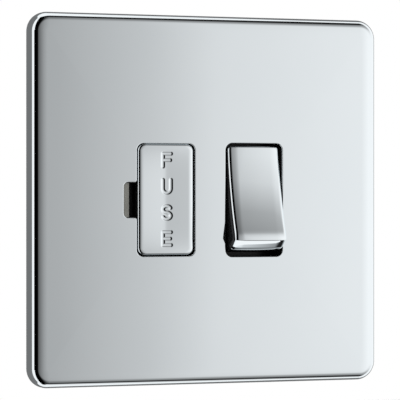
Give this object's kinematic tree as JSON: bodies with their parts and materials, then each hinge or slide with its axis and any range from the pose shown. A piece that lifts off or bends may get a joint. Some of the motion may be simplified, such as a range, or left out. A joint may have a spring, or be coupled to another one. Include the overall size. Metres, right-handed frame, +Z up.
{
  "type": "fused spur unit",
  "caption": "Flush wall fused spur unit: square polished metal plate with a rocker switch beside a pull-out fuse carrier, black moulded housing and brass terminals behind.",
  "frame": {"origin": "midway between the two box-screw slots, on the wall plane at the yoke's rear face", "axes": "+X right and +Z up as seen on the wall, front faces -Y, +Y into the wall box"},
  "size_m": [0.095, 0.0311, 0.095],
  "materials": {
    "polished_chrome": "mirror polished plating",
    "black_moulding": "smooth black thermoset",
    "base_moulding": "fine matt black moulding",
    "zinc_steel": "bright zinc plate",
    "brass": "bright drawn brass",
    "clip_bronze": "spring bronze",
    "contact_silver": "silver alloy",
    "spring_steel": "drawn spring wire",
    "fuse_ceramic": "unglazed ceramic",
    "fuse_cap_plate": "nickel plated cap",
    "gasket_rubber": "thin closed-cell sheet"
  },
  "bodies": {
    "housing": {"yoke": "zinc_steel", "yoke_screws": "zinc_steel", "front_housing": "black_moulding", "rear_base": "base_moulding", "base_screws": "zinc_steel", "supply_live_strap": "brass", "supply_neutral_strap": "brass", "live_link_strap": "brass", "load_neutral_strap": "brass", "load_live_strap": "brass", "earth_strap": "brass", "fixed_contact_tips": "contact_silver", "upper_fuse_clip": "clip_bronze", "lower_fuse_clip": "clip_bronze", "terminal_screws": "brass", "load_live_terminal": "brass", "supply_live_terminal": "brass", "supply_neutral_terminal": "brass", "left_earth_terminal": "brass", "centre_earth_terminal": "brass", "load_neutral_terminal": "brass"},
    "plate": {"front_plate": "polished_chrome", "clip_frame": "black_moulding", "wall_gasket": "gasket_rubber"},
    "rocker": {"rocker_cap": "polished_chrome", "rocker_body": "black_moulding", "live_spring": "spring_steel", "neutral_spring": "spring_steel"},
    "fuse_carrier": {"fuse_carrier": "black_moulding", "fuse_cover": "polished_chrome", "fuse_tube": "fuse_ceramic", "fuse_end_caps": "fuse_cap_plate"},
    "live_contact": {"live_moving_contact": "brass", "live_moving_tip": "contact_silver"},
    "neutral_contact": {"neutral_moving_contact": "brass", "neutral_moving_tip": "contact_silver"},
    "live_plunger": {"live_plunger": "brass"},
    "neutral_plunger": {"neutral_plunger": "brass"}
  },
  "joints": [
    {"name": "rocker_tilt", "type": "hinge", "parent": "housing", "child": "rocker", "pos_m": [0.01265, -0.0003, 0], "axis": [1, 0, 0], "range_deg": [0, 28.2]},
    {"name": "fuse_carrier_pull", "type": "slide", "parent": "housing", "child": "fuse_carrier", "axis": [0, -1, 0], "range_m": [0, 0.015]},
    {"name": "front_plate_unclip", "type": "slide", "parent": "housing", "child": "plate", "axis": [0, -1, 0], "range_m": [0, 0.025]},
    {"name": "live_contact_tilt", "type": "hinge", "parent": "housing", "child": "live_contact", "pos_m": [0.00945, 0.0075, 0], "axis": [1, 0, 0], "range_deg": [-16, 0]},
    {"name": "live_plunger_slide", "type": "slide", "parent": "rocker", "child": "live_plunger", "axis": [0, -0.9699, 0.2436], "range_m": [0, 0.001], "stiffness_N_per_m": 300, "deforming": ["live_spring"]},
    {"name": "neutral_contact_tilt", "type": "hinge", "parent": "housing", "child": "neutral_contact", "pos_m": [0.01585, 0.0075, 0], "axis": [1, 0, 0], "range_deg": [-16, 0]},
    {"name": "neutral_plunger_slide", "type": "slide", "parent": "rocker", "child": "neutral_plunger", "axis": [0, -0.9699, 0.2436], "range_m": [0, 0.001], "stiffness_N_per_m": 300, "deforming": ["neutral_spring"]}
  ],
  "couplings": [
    {"joint": "live_contact_tilt", "follows": "rocker_tilt", "ratio": -0.5673},
    {"joint": "neutral_contact_tilt", "follows": "rocker_tilt", "ratio": -0.5673}
  ]
}
